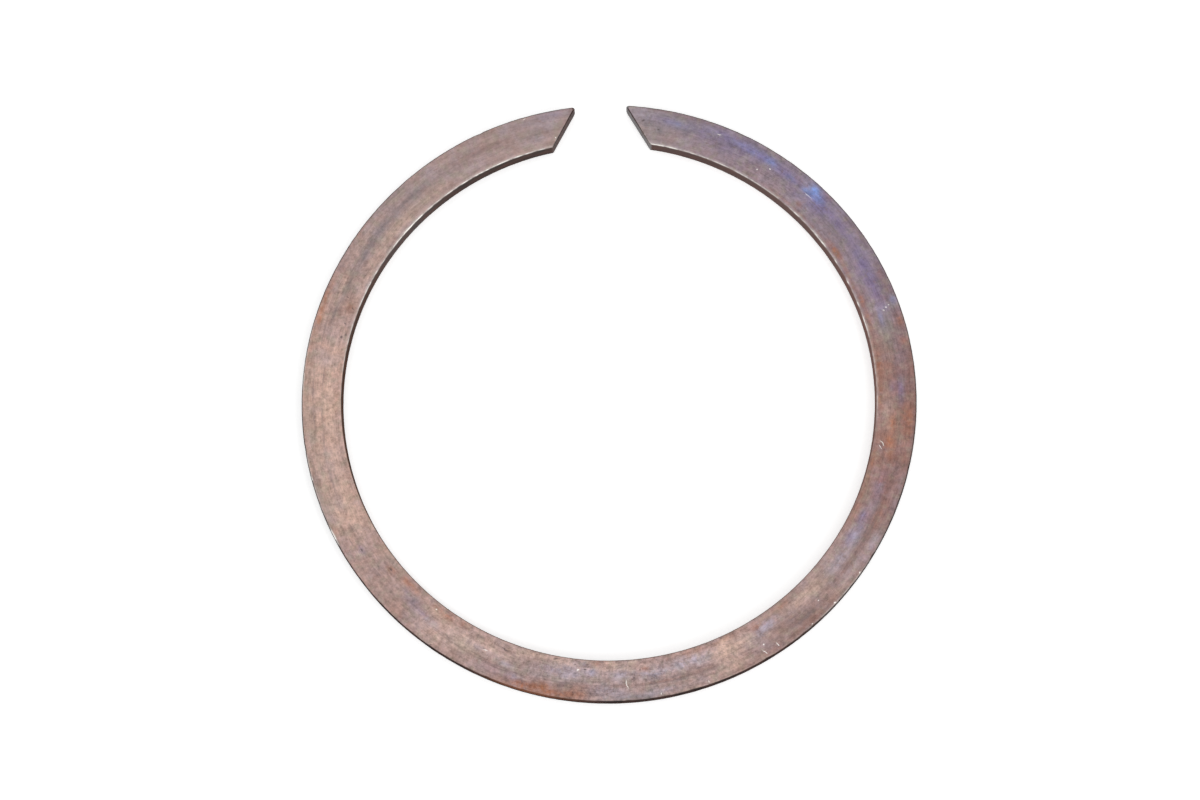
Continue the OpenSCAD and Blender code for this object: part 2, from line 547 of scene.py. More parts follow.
# %% Slate and olive grey, where the skin is dull
paint("slate", (
    (9.5, 0.56, 1.3, 0.14, 0.9), (12.3, 0.42, 2.2, 0.14, 0.8), (16, 0.8, 4, 0.08, 0.3),
    (17.5, 0.55, 1.6, 0.12, 0.5), (22, 0.58, 8, 0.03, 0.4), (46, 0.35, 8, 0.25, 0.4),
    (52, 0.45, 5, 0.1, 0.55), (53.8, 0.1, 2, 0.06, 0.5), (60, 0.36, 5, 0.08, 0.35),
    (73.5, 0.86, 1.2, 0.08, 0.5), (77, 0.55, 2.5, 0.14, 0.7), (81, 0.5, 3, 0.2, 0.5),
    (84, 0.68, 6, 0.3, 0.45), (90.5, 0.62, 2.2, 0.06, 0.5), (115, 0.54, 3.5, 0.1, 0.8),
    (122, 0.5, 4, 0.12, 0.35), (124, 0.47, 2.5, 0.05, 0.7), (166, 0.66, 7, 0.04, 0.5),
    (177, 0.91, 5, 0.07, 1), (224, 0.48, 3.5, 0.14, 0.4), (251.5, 0.42, 2, 0.06, 0.3),
    (253, 0.92, 3, 0.06, 0.5), (259, 0.51, 2.5, 0.05, 0.25), (288, 0.55, 3, 0.07, 0.5),
    (293, 0.5, 3, 0.06, 0.5), (300.7, 0.1, 1.5, 0.06, 0.3), (302, 0.5, 3.5, 0.09, 0.75),
    (309, 0.56, 5, 0.14, 0.6), (315, 0.92, 4, 0.06, 0.3), (317, 0.55, 6, 0.13, 0.55),
    (329, 0.55, 8, 0.12, 0.35), (346, 0.8, 4, 0.14, 0.35), (347, 0.5, 5, 0.2, 0.4),
))
paint("olive_grey", (
    (77.5, 0.6, 2.5, 0.1, 0.4), (80, 0.45, 3, 0.14, 0.6), (100.8, 0.62, 1.2, 0.08, 0.6),
    (119, 0.88, 2, 0.1, 0.35), (134, 0.42, 3, 0.12, 0.3), (189, 0.52, 6, 0.05, 0.4),
    (209.5, 0.52, 2.5, 0.1, 0.4), (211, 0.55, 3, 0.12, 0.5), (233, 0.12, 5, 0.1, 0.3),
    (251, 0.88, 4, 0.07, 0.5), (257, 0.7, 8, 0.08, 0.3), (270, 0.85, 8, 0.1, 0.3),
    (295, 0.5, 2.5, 0.06, 0.5), (308, 0.3, 4, 0.12, 0.3), (318, 0.3, 5, 0.12, 0.3),
))

# %% Peach, where the skin is thin and pale
paint("peach", (
    (95, 0.3, 4, 0.14, 0.35), (98.8, 0.36, 0.9, 0.05, 0.5), (133, 0.85, 3, 0.06, 0.3),
    (138, 0.32, 5, 0.12, 0.55), (154, 0.32, 2.2, 0.14, 0.7), (157, 0.6, 2.5, 0.14, 0.5),
    (157, 0.8, 2.5, 0.08, 0.5), (157.5, 0.12, 1.4, 0.08, 0.8), (158, 0.33, 1.6, 0.12, 1),
    (158, 0.36, 2.4, 0.18, 1), (180, 0.09, 3, 0.05, 0.5), (180, 0.22, 6, 0.06, 0.4),
    (190.5, 0.18, 2.4, 0.1, 0.9), (196, 0.09, 5, 0.06, 0.6), (199, 0.14, 3, 0.08, 0.5),
    (204, 0.34, 4, 0.1, 0.4), (204.8, 0.18, 1.6, 0.07, 0.4), (212, 0.38, 5, 0.2, 0.5),
    (216, 0.72, 5, 0.2, 0.4), (219, 0.26, 2, 0.08, 0.7), (227, 0.44, 1.2, 0.07, 0.6),
    (247.5, 0.66, 3.5, 0.1, 0.6), (248, 0.34, 6, 0.14, 0.7), (260, 0.3, 5, 0.1, 0.6),
    (262, 0.6, 12, 0.06, 0.3), (268.5, 0.32, 5, 0.14, 1), (269, 0.23, 1.6, 0.06, 0.9),
    (273, 0.62, 8, 0.08, 0.35), (278, 0.34, 6, 0.14, 0.5), (286.5, 0.84, 3.5, 0.06, 0.4),
    (294, 0.64, 3, 0.06, 0.6), (297, 0.15, 7, 0.07, 0.5), (304, 0.74, 4, 0.08, 0.5),
    (310, 0.27, 6, 0.1, 0.5), (317, 0.2, 7, 0.1, 0.3),
))

# %% Orange rust, along the inner edge and in spots
paint("orange_rust", (
    (42, 0.08, 6, 0.05, 0.3), (46, 0.26, 0.9, 0.08, 0.5), (52, 0.08, 6, 0.05, 0.35),
    (59, 0.16, 2.6, 0.07, 0.95), (63.5, 0.12, 1.4, 0.06, 0.4), (66, 0.09, 3, 0.06, 0.6),
    (71, 0.13, 1.8, 0.07, 0.85), (75.5, 0.12, 2, 0.08, 0.75), (77, 0.88, 1.6, 0.08, 0.75),
    (81.3, 0.82, 0.9, 0.12, 0.6), (85.5, 0.12, 2.8, 0.09, 0.75), (86, 0.4, 3, 0.14, 0.3),
    (92, 0.1, 5, 0.07, 0.6), (96, 0.7, 2.5, 0.08, 0.4), (97.5, 0.84, 3.2, 0.12, 0.75),
    (98.2, 0.42, 1.5, 0.08, 0.8), (102, 0.4, 1.5, 0.1, 0.95), (103, 0.51, 2, 0.08, 0.3),
    (103, 0.8, 2, 0.1, 0.5), (104, 0.3, 4, 0.16, 0.3), (104.5, 0.46, 1, 0.06, 0.4),
    (107, 0.08, 6, 0.05, 0.6), (109.8, 0.41, 0.7, 0.06, 1), (117, 0.62, 4, 0.06, 0.3),
    (118, 0.1, 5, 0.06, 0.35), (144, 0.14, 3, 0.06, 0.45), (149, 0.9, 2.2, 0.07, 0.45),
    (149.8, 0.22, 1.6, 0.06, 0.8), (151, 0.1, 1.5, 0.06, 0.3), (160, 0.1, 12, 0.06, 0.4),
    (174.4, 0.27, 1.2, 0.05, 0.8), (184, 0.08, 1.5, 0.08, 0.4), (187.5, 0.84, 1.8, 0.12, 0.7),
    (192, 0.9, 4, 0.08, 0.9), (194.3, 0.82, 1.8, 0.13, 1), (197, 1, 7, 0.05, 0.9),
    (197.5, 0.88, 4, 0.1, 1), (212.6, 0.12, 1.3, 0.06, 0.6), (216.5, 0.16, 1.6, 0.08, 0.85),
    (219.5, 0.12, 1.6, 0.06, 0.5), (227, 0.15, 2.5, 0.1, 0.8), (231.8, 0.26, 1.2, 0.08, 0.8),
    (240, 0.85, 6, 0.12, 0.15), (270.5, 0.14, 2.5, 0.06, 0.3), (279, 0.93, 2.5, 0.04, 0.45),
    (286.5, 0.86, 1.4, 0.07, 0.7), (289, 0.9, 6, 0.07, 0.8), (290.6, 0.22, 1.2, 0.12, 0.5),
    (306, 0.93, 2, 0.04, 0.35), (332, 0.55, 6, 0.08, 0.15),
))

# %% Brown rust, in patches
paint("brown_rust", (
    (12, 0.95, 3, 0.05, 0.4), (19, 0.93, 6, 0.05, 0.3), (49, 0.93, 1.2, 0.05, 0.5),
    (58, 0.9, 5, 0.06, 0.35), (60, 0.12, 2, 0.06, 0.4), (60.5, 0.4, 2, 0.1, 0.3),
    (68, 0.85, 3.5, 0.1, 0.6), (77, 0.1, 2, 0.06, 0.25), (78, 0.72, 1.6, 0.06, 0.4),
    (87, 0.55, 4, 0.3, 0.35), (89, 0.12, 4, 0.1, 0.3), (89.5, 0.83, 3, 0.14, 0.95),
    (98, 0.38, 1.5, 0.08, 0.3), (99, 0.55, 4, 0.14, 0.45), (104, 0.62, 3, 0.2, 0.85),
    (106, 0.5, 3, 0.1, 0.6), (107, 0.82, 4, 0.12, 0.25), (109, 0.55, 5, 0.12, 0.5),
    (112.5, 0.6, 3, 0.18, 0.7), (118, 0.62, 6, 0.07, 0.5), (128, 0.61, 5, 0.07, 0.65),
    (132.6, 0.42, 1.2, 0.08, 0.5), (139, 0.72, 4, 0.16, 0.5), (139, 0.88, 5, 0.08, 1),
    (143, 0.5, 2.5, 0.08, 0.6), (143, 0.87, 3, 0.08, 0.7), (146, 0.66, 4, 0.1, 0.5),
    (151, 0.85, 2.5, 0.08, 0.3), (153.5, 0.66, 2, 0.08, 0.6), (155.5, 0.92, 3, 0.06, 0.7),
    (162.8, 0.51, 1.2, 0.04, 0.7), (163, 0.6, 2.2, 0.05, 0.6), (170, 0.62, 6, 0.035, 0.7),
    (179, 0.62, 5, 0.02, 0.5), (187, 0.66, 6, 0.1, 0.5), (192, 0.8, 2, 0.08, 0.35),
    (192, 0.86, 7, 0.1, 0.85), (192.6, 0.72, 2, 0.08, 0.4), (196, 0.66, 6, 0.05, 0.5),
    (202.5, 0.22, 1.6, 0.04, 0.45), (207, 0.62, 5, 0.03, 0.3), (213, 0.85, 5, 0.12, 0.2),
    (224, 0.88, 3, 0.08, 0.7), (225, 0.6, 3, 0.16, 0.3), (226.5, 0.18, 2, 0.08, 0.5),
    (232, 0.28, 2, 0.1, 0.3), (232.8, 0.65, 1.2, 0.1, 0.5), (238, 0.15, 2.5, 0.1, 0.5),
    (238.3, 0.32, 2, 0.08, 0.5), (241, 0.72, 2, 0.08, 0.25), (243.5, 0.9, 1.5, 0.05, 0.3),
    (252, 0.86, 6, 0.12, 0.2), (265, 0.95, 14, 0.03, 0.3), (280, 0.9, 1.5, 0.05, 0.3),
    (288, 0.4, 4, 0.07, 0.2), (290.5, 0.22, 1.2, 0.12, 0.25), (297.5, 0.7, 1, 0.05, 0.5),
    (298, 0.8, 1, 0.1, 0.5), (331, 0.1, 3, 0.07, 0.2), (336, 0.55, 7, 0.12, 0.3),
))

# %% Dark scale in smears, and painted shade along the near outer edge
paint("dark_scale_and_edge_shade", (
    (9.3, 0.56, 0.8, 0.09, 0.3), (17.8, 0.52, 0.8, 0.08, 0.35), (66.5, 0.5, 1, 0.06, 0.4),
    # The long dabs at across 1, from 102 to 245 degrees, are painted shade on the near outer edge.
    (102, 1, 12, 0.055, 0.9), (120, 1, 10, 0.05, 1), (122, 0.5, 4, 0.12, 0.12),
    (137, 0.9, 1.4, 0.06, 0.3), (140, 1, 12, 0.045, 1), (165, 1, 16, 0.035, 0.8),
    (176.2, 0.9, 1.5, 0.05, 0.25), (209, 0.5, 0.8, 0.04, 0.4), (245, 1, 12, 0.035, 0.8),
    (291, 0.46, 3, 0.1, 0.12), (295, 0.48, 2.5, 0.07, 0.35), (354.5, 0.9, 0.8, 0.2, 0.5),
))

# %% The upper edges, rubbed and with a painted highlight: a line inside, brightest at the upper left, and specks outside
RUB_AND_HIGHLIGHT_REACH = 0.10 * MM
RUB_AND_HIGHLIGHT_TILT = math.radians(28)


def on_the_rounding(from_wall, edge_radius):
    """1 on a line along an upper edge's rounding, where it has tilted by RUB_AND_HIGHLIGHT_TILT."""
    line_in = edge_radius * (1 - math.sin(RUB_AND_HIGHLIGHT_TILT))
    line_down = edge_radius * (1 - math.cos(RUB_AND_HIGHLIGHT_TILT))
    gap = np.hypot(from_wall * WIDTH - line_in, (1 - height) * THICKNESS - line_down)
    return np.exp(-(gap / RUB_AND_HIGHLIGHT_REACH) ** 2)


# Rubbed metal and a painted highlight: the line lies where the lamp glints on the edge, strongest at the
# upper left.
paint("edge_rubbed_and_highlit", (
    (13, 0, 7, 0.3, 0.6), (30, 0, 14, 0.3, 0.5), (47.5, 0, 2.6, 0.3, 0.6), (54.8, 0, 2.6, 0.3, 1),
    (61, 0, 1.8, 0.3, 0.6), (66, 0, 0.7, 0.3, 0.8), (70.5, 0, 1.8, 0.3, 0.8), (76, 0, 2.4, 0.3, 0.7),
    (88, 0, 9, 0.3, 0.4), (133, 1, 8, 0.3, 0.3), (243.5, 1, 1.6, 0.3, 1), (254, 1, 5, 0.3, 0.6),
    (275, 1, 9, 0.3, 0.4), (284, 0, 10, 0.3, 0.3), (298, 0, 8, 0.3, 0.6), (312, 0, 6, 0.3, 1),
    (334, 0, 20, 0.3, 0.65),
), only=np.maximum(on_the_rounding(across, INNER_EDGE), on_the_rounding(1 - across, OUTER_EDGE)))

# %% How far each face turns from flat to upright
walls = ring.data.attributes.new(name="wall", type="FLOAT", domain="POINT")
upright = np.empty(len(turn) * 3)
ring.data.vertices.foreach_get("normal", upright)
upright = 1 - np.abs(upright.reshape(-1, 3)[:, 2])
walls.data.foreach_set("value", upright.astype(np.float32))
print("wall", "covers", round(float(upright.mean()) * 100, 1), "% of the ring")

# %% [markdown]
# ## The skin of old spring steel
#
# The finish is built up in the order in which it came about. First the ground tint, which drifts
# from rose grey to pale copper round the ring, with a soft mottle; part of that drift is painted
# light, paler on the left and darker on the right. Then the painted finishes, each broken up by
# its own noise, and the pits. Then grain from handling and streaks from rolling, which make all
# of it lighter and darker. Single scratches, painted glints and dots come next, and last the dull,
# dark walls, partly painted shade, and the bright line along the inner edge, rubbed metal with a
# painted highlight. A wall is seen at a low angle, where even rough metal mirrors the white floor,
# so the walls get neither metal nor gloss.

# %% Tints
def tint(red, green, blue):
    """A colour as it is seen, 0 to 255 each, made into the linear colour that shaders use."""
    def linear(part):
        part = part / 255
        return part / 12.92 if part < 0.04045 else ((part + 0.055) / 1.055) ** 2.4
    return (linear(red), linear(green), linear(blue), 1.0)


COOL_ROSE = tint(150, 137, 139)
MAUVE = tint(135, 121, 134)
RUSTY_ROSE = tint(145, 113, 107)
DUSKY_ROSE = tint(159, 136, 132)
ROSE_GREY = tint(164, 142, 139)
WARM_ROSE = tint(172, 146, 140)
PALE_COPPER = tint(186, 157, 147)
VIOLET = tint(122, 108, 156)
SKY_BLUE = tint(130, 160, 226)
LILAC_SILVER = tint(180, 172, 190)
SLATE = tint(124, 118, 124)
OLIVE_GREY = tint(155, 149, 130)
PEACH = tint(222, 188, 170)
ORANGE_RUST = tint(168, 106, 74)
BROWN_RUST = tint(130, 92, 82)
# Dark scale, also used as painted shade on the near outer edge.
SCALE = tint(92, 80, 80)
# Nearly black: dark oxide and painted shade on the outer wall.
OUTER_WALL_OXIDE_AND_SHADE = tint(48, 42, 42)
STREAK = tint(128, 112, 112)
# Near white, for rubbed metal and for painted highlights and glints.
RUBBED_STEEL_AND_HIGHLIGHT = tint(255, 250, 244)

# Round the faces the tint is partly the steel's own and partly painted light: paler from 248 to 280
# degrees on the left, darker from 86 to 112 on the right.
TINT_AND_LIGHT_ROUND_THE_RING = (
    (6, COOL_ROSE), (26, MAUVE), (66, MAUVE), (86, RUSTY_ROSE), (112, RUSTY_ROSE),
    (130, DUSKY_ROSE), (149, DUSKY_ROSE), (158, WARM_ROSE), (178, ROSE_GREY), (200, ROSE_GREY),
    (214, WARM_ROSE), (230, WARM_ROSE), (248, PALE_COPPER), (280, PALE_COPPER), (292, WARM_ROSE),
    (312, ROSE_GREY), (350, ROSE_GREY),
)
# The inner wall's colour round the ring, partly oxide and partly painted shade, darkest near 272 and 330
# degrees.
INNER_WALL_ROUND_THE_RING = (
    (20, tint(98, 82, 80)), (50, tint(118, 98, 95)), (70, tint(130, 102, 97)),
    (180, tint(110, 88, 80)), (272, tint(74, 56, 48)), (290, tint(80, 66, 60)),
    (310, tint(92, 84, 83)), (330, tint(74, 66, 64)),
)
print("tints round the faces:", len(TINT_AND_LIGHT_ROUND_THE_RING),
      "and round the inner wall:", len(INNER_WALL_ROUND_THE_RING))


# %% Small helpers for building node trees
def new_material(name):
    """A fresh material, its node tree and its shader."""
    made = bpy.data.materials.new(name)
    made.use_nodes = True
    return made, made.node_tree, made.node_tree.nodes["Principled BSDF"]


def add_node(tree, kind, **settings):
    """Adds a shader node with these settings."""
    made = tree.nodes.new(kind)
    for name, value in settings.items():
        setattr(made, name, value)
    return made


def dial(node, **values):
    """Sets numbers on a node's own sockets; an underscore stands for a space in a name."""
    for name, value in values.items():
        node.inputs[name.replace("_", " ")].default_value = value


def plug(tree, socket, value):
    """Links value into socket when it is an output, and otherwise sets it there."""
    if isinstance(value, bpy.types.NodeSocket):
        tree.links.new(value, socket)
    else:
        socket.default_value = value


def calculate(tree, operation, first, second=0.0, clamp=False):
    """One Math node."""
    made = add_node(tree, "ShaderNodeMath", operation=operation, use_clamp=clamp)
    plug(tree, made.inputs[0], first)
    plug(tree, made.inputs[1], second)
    return made.outputs[0]


def times(tree, first, second, clamp=False):
    """One number by another."""
    return calculate(tree, "MULTIPLY", first, second, clamp)


def plus(tree, first, second):
    """One number and another."""
    return calculate(tree, "ADD", first, second)


# %% Small helpers for colours, ranges and relief
def blend(tree, amount, under, over, kind="MIX"):
    """Lays a colour over another by an amount from 0 to 1."""
    made = add_node(tree, "ShaderNodeMix", data_type="RGBA", blend_type=kind)
    plug(tree, made.inputs["Factor"], amount)
    plug(tree, made.inputs[6], under)
    plug(tree, made.inputs[7], over)
    return made.outputs[2]


def coat(tree, under, over, cover, thickness, kind="MIX"):
    """Lays a colour over another where cover is high, and only as thick as this."""
    return blend(tree, times(tree, cover, thickness), under, over, kind)


def stretch(tree, value, low, high, curve="LINEAR"):
    """Stretches low..high to 0..1 and holds what lies beyond."""
    made = add_node(tree, "ShaderNodeMapRange", interpolation_type=curve)
    plug(tree, made.inputs["Value"], value)
    dial(made, From_Min=low, From_Max=high)
    return made.outputs["Result"]


def bump(tree, relief, strength, depth_mm):
    """Makes a face look as uneven as this relief."""
    made = add_node(tree, "ShaderNodeBump")
    dial(made, Strength=strength, Distance=depth_mm * MM)
    plug(tree, made.inputs["Height"], relief)
    return made.outputs[0]


def painted(tree, name):
    """The amount of a painted finish."""
    return add_node(tree, "ShaderNodeAttribute", attribute_name=name).outputs["Fac"]


# %% Two ways to say where a point is: in the round and along the wire
def places(tree):
    """Object coordinates, then (along the wire, across it, up) in metres, then U and V."""
    coordinates = add_node(tree, "ShaderNodeTexCoord")
    unrolled = add_node(tree, "ShaderNodeUVMap", uv_map="along_the_wire")
    split = add_node(tree, "ShaderNodeSeparateXYZ")
    tree.links.new(unrolled.outputs[0], split.inputs[0])
    up = add_node(tree, "ShaderNodeSeparateXYZ")
    tree.links.new(coordinates.outputs["Object"], up.inputs[0])
    wire = add_node(tree, "ShaderNodeCombineXYZ")
    plug(tree, wire.inputs[0], times(tree, split.outputs[0], FULL_TURN * MIDDLE_R))
    plug(tree, wire.inputs[1], times(tree, split.outputs[1], WIDTH))
    plug(tree, wire.inputs[2], up.outputs[2])
    return coordinates.outputs["Object"], wire.outputs[0], split.outputs[0], split.outputs[1]


# %% Noise, in blotches or in streaks
def cells_of(size_mm):
    """How many blotches of this size fit in a metre, the same each way."""
    return (1 / (size_mm * MM),) * 3


def streaks_of(long_mm, wide_mm):
    """How many streaks fit in a metre, along the wire and across it."""
    return (1 / (long_mm * MM), 1 / (wide_mm * MM), 1 / (wide_mm * MM))


def scaled(tree, place, per_metre, seed):
    """A place in metres, measured in blotches and moved to a part of the noise of its own."""
    made = add_node(tree, "ShaderNodeVectorMath", operation="MULTIPLY_ADD")
    tree.links.new(place, made.inputs[0])
    made.inputs[1].default_value = per_metre
    made.inputs[2].default_value = (seed, seed * 1.7, seed * 0.6)
    return made.outputs[0]


def noise(tree, place, per_metre, seed, detail=3, roughness=0.55, distortion=0, low=0, high=1):
    """Noise with so many blotches to the metre, stretched so that low..high fills 0..1."""
    made = add_node(tree, "ShaderNodeTexNoise")
    dial(made, Scale=1, Detail=detail, Roughness=roughness, Distortion=distortion)
    plug(tree, made.inputs["Vector"], scaled(tree, place, per_metre, seed))
    return stretch(tree, made.outputs[0], low, high)


# %% The ground tint, with painted light that makes the left side paler, warmer inside, and its soft mottle
WANDER = 0.02
INNER_SIDE = (0.6, 0.42)


def round_the_ring(tree, along, colours):
    """Passes smoothly through a few colours on the way round, each given with its turn."""
    drift = add_node(tree, "ShaderNodeValToRGB")
    drift.color_ramp.interpolation = "EASE"
    stops = drift.color_ramp.elements
    while len(stops) < len(colours):
        stops.new(0.5)
    for stop, (at_turn, colour) in zip(stops, colours):
        stop.position = at_turn / 360
        stop.color = colour
    plug(tree, drift.inputs[0], along)
    return drift.outputs[0]


def bare_skin(tree, space, along, across):
    """The ring's ground colour before the painted finishes, with painted light: paler on the left."""
    wander = noise(tree, space, cells_of(7), seed=3, detail=2, low=0.3, high=0.7)
    wander = times(tree, calculate(tree, "SUBTRACT", wander, 0.5), WANDER)
    ground = round_the_ring(tree, plus(tree, along, wander), TINT_AND_LIGHT_ROUND_THE_RING)
    inner_side = stretch(tree, across, *INNER_SIDE, "SMOOTHSTEP")
    ground = coat(tree, ground, PALE_COPPER, inner_side, 0.16)
    mottle = noise(tree, space, cells_of(2.6), seed=5, detail=5, roughness=0.6, distortion=0.4,
                   low=0.36, high=0.66)
    ground = coat(tree, ground, PEACH, mottle, 0.3, "SOFT_LIGHT")
    grey = noise(tree, space, cells_of(3.4), seed=23, detail=4, low=0.45, high=0.75)
    ground = coat(tree, ground, LILAC_SILVER, grey, 0.28)
    sallow = noise(tree, space, cells_of(1.5), seed=37, detail=4, low=0.5, high=0.62)
    return coat(tree, ground, OLIVE_GREY, sallow, 0.34)


# %% The painted finishes, each broken up by a noise of its own
PAINTED_FINISHES = (
    # name, colour, blotch mm, how solid it is, how strong at most
    ("slate", SLATE, 1.6, 0.5, 0.9),
    ("olive_grey", OLIVE_GREY, 1.6, 0.4, 0.85),
    ("peach", PEACH, 1.4, 0.5, 0.85),
    ("lilac_silver", LILAC_SILVER, 1.1, 0.3, 0.8),
    ("brown_rust", BROWN_RUST, 1.3, 0.4, 0.8),
    ("orange_rust", ORANGE_RUST, 1.0, 0.4, 0.85),
    ("violet_tint", VIOLET, 2.0, 0.5, 0.8),
    ("blue_tint_and_reflection", SKY_BLUE, 1.3, 0.5, 0.95),
    ("dark_scale_and_edge_shade", SCALE, 0.9, 0.5, 0.85),
)


def finish_amount(tree, space, name, blotch, solid, most, seed):
    """A painted finish with its soft edge eaten away by noise."""
    eaten = noise(tree, space, cells_of(blotch), seed, detail=5, roughness=0.65, distortion=0.5,
                  low=0.38, high=0.58)
    cover = plus(tree, times(tree, eaten, 1 - solid), solid)
    amount = times(tree, painted(tree, name), cover)
    return times(tree, amount, most, clamp=True)


def with_painted_finishes(tree, colour, space):
    """The colour under every painted finish, in the order of the list."""
    for number, (name, over, blotch, solid, most) in enumerate(PAINTED_FINISHES):
        amount = finish_amount(tree, space, name, blotch, solid, most, seed=31 + 9 * number)
        colour = blend(tree, amount, colour, over)
    return colour


# %% Light and dark: grain of two sizes, and patches and streaks along the wire
BUSY_ROUND_THE_RING = (
    (20, 0.75), (40, 1.0), (60, 0.75), (85, 1.0), (120, 0.9), (145, 1.05), (160, 1.3),
    (180, 1.65), (200, 1.3), (240, 1.05), (300, 1.05), (320, 0.75), (345, 0.6),
)
MOST_STREAKY = 0.9


def swing(tree, parts):
    """Adds up noises by weight, so that the sum swings evenly about 0."""
    total = -sum(weight for grain, weight in parts) / 2
    for grain, weight in parts:
        total = plus(tree, times(tree, grain, weight), total)
    return total


def uneven(tree, colour, space, wire, along):
    """The colour made lighter and darker by about a tenth, in the ways that worn steel is.

    The near side is the busiest and both ends are calm. A ramp holds numbers up to 1, so it
    carries half of each."""
    halves = [(at_turn, (busy / 2,) * 3 + (1.0,)) for at_turn, busy in BUSY_ROUND_THE_RING]
    busy = times(tree, round_the_ring(tree, along, halves), 2.0)
    streaky = calculate(tree, "MINIMUM", busy, MOST_STREAKY)
    spots = swing(tree, (
        (noise(tree, space, cells_of(1.2), seed=41, roughness=0.95), 1.35),
        (noise(tree, space, cells_of(1.7), seed=47, detail=5, roughness=0.65, distortion=1.0,
               low=0.46, high=0.56), 0.11),
    ))
    streaks = swing(tree, (
        (noise(tree, wire, streaks_of(8, 0.8), seed=11, roughness=0.7), 0.85),
        (noise(tree, wire, streaks_of(1.6, 0.22), seed=13, detail=2), 0.6),
    ))
    total = plus(tree, times(tree, spots, busy), 1.0)
    total = plus(tree, times(tree, streaks, streaky), total)
    scale = add_node(tree, "ShaderNodeVectorMath", operation="SCALE")
    plug(tree, scale.inputs[0], colour)
    plug(tree, scale.inputs["Scale"], total)
    return scale.outputs[0]


# %% Where the single marks are: bright scratches and painted glints, dark dots, thin streaks
BRIGHT_MARKS_AND_GLINTS = (
    # turn, across, length mm, width mm, lean in degrees from the wire
    # Painted glints: the marks by the outer edge from 128 to 141 degrees and the line at 46.2 stand in
    # for light caught there; the rest are scratches.
    (24.2, 0.73, 1, 0.16, 15), (34.4, 0.34, 0.5, 0.2, 30), (36.7, 0.52, 0.45, 0.3, 0),
    (46.2, 0.585, 2.2, 0.1, 0), (73.7, 0.72, 0.4, 0.2, 90), (74, 0.65, 0.4, 0.2, 60),
    (74.4, 0.56, 0.5, 0.2, 40), (102.4, 0.23, 1.5, 0.16, 40), (103.2, 0.2, 1.2, 0.14, 40),
    (128, 0.945, 0.5, 0.3, 0), (135.2, 0.95, 0.6, 0.25, 0), (137.1, 0.63, 0.4, 0.25, 0),
    (141, 0.93, 0.4, 0.25, 0), (148.4, 0.83, 1, 0.16, 100), (150.6, 0.65, 0.35, 0.3, 0),
    (151.2, 0.82, 1.3, 0.16, 120), (162.9, 0.9, 0.7, 0.2, 90), (171.8, 0.9, 0.6, 0.25, 80),
    (178, 0.59, 2.2, 0.18, 98), (187.6, 0.27, 0.6, 0.3, 40), (206.5, 0.4, 1.2, 0.15, 5),
    (219.3, 0.19, 0.4, 0.3, 0), (345, 0.92, 0.6, 0.2, 20), (350.3, 0.25, 0.4, 0.25, 0),
)
DARK_MARKS = (
    (8.6, 0.62, 0.9, 0.5, 30), (12, 0.42, 0.7, 0.5, 0), (47.3, 0.48, 0.5, 0.25, 20),
    (74.3, 0.5, 0.3, 0.25, 0), (173, 0.29, 1.2, 0.18, -10), (175.2, 0.26, 0.5, 0.2, 60),
    (186.2, 0.24, 0.8, 0.2, 0), (188.3, 0.15, 0.6, 0.25, 10), (192.4, 0.08, 1.2, 0.35, 5),
    (203, 0.2, 2.2, 0.3, -12), (216, 0.94, 0.6, 0.3, 30), (231.8, 0.26, 0.8, 0.6, 0),
    (238.4, 0.56, 1, 0.5, 0), (284, 0.2, 0.7, 0.6, 30), (284.8, 0.12, 0.8, 0.3, 20),
    (287, 0.22, 0.6, 0.4, 60), (290.6, 0.16, 1, 0.3, 40), (292.5, 0.38, 0.9, 0.3, 70),
)
THIN_STREAKS = (
    (48.2, 0.535, 5, 0.35, 0), (54.5, 0.46, 6, 0.5, 0), (66.5, 0.5, 2, 0.5, 0), (77.5, 0.56, 4.5, 0.6, 0),
    (119, 0.63, 10, 0.6, 0), (141, 0.72, 9, 0.8, 0), (143.5, 0.55, 4, 0.7, 0), (162.5, 0.64, 5, 0.5, -1),
    (163.8, 0.52, 2, 0.35, 0), (169, 0.56, 7, 0.45, 1), (171, 0.65, 9, 0.4, 0), (181, 0.61, 8, 0.35, 0),
    (190, 0.62, 9, 0.5, 0), (203, 0.22, 4, 0.4, -8), (205, 0.64, 11, 0.25, 0), (208.5, 0.17, 2.5, 0.5, 0),
    (214.2, 0.56, 1.6, 0.4, -20), (232.3, 0.55, 2, 0.5, 30), (241, 0.68, 3, 0.4, 0),
    (243.5, 0.5, 1.6, 0.4, 0), (253, 0.52, 7.5, 0.7, 0), (256, 0.86, 5, 0.5, 0), (262, 0.5, 5, 0.5, 0),
    (267, 0.69, 6, 0.4, 0), (267.5, 0.49, 4.5, 0.5, 0), (273, 0.72, 7, 0.35, 0), (275, 0.48, 9, 0.35, 0),
    (284, 0.67, 9, 0.35, 1), (288.5, 0.55, 5, 0.6, 0), (296, 0.5, 4, 0.8, 4), (302.5, 0.49, 6, 1, 0),
    (317, 0.55, 8, 0.8, 0), (334, 0.52, 9, 0.9, 0),
)
print("single marks:", len(BRIGHT_MARKS_AND_GLINTS) + len(DARK_MARKS) + len(THIN_STREAKS))


# %% Drawing the single marks
MARK_DEPTH = 0.5 * MM
TORN_SPECK_MM = 0.6
TORN_REACH = 0.5 * MM


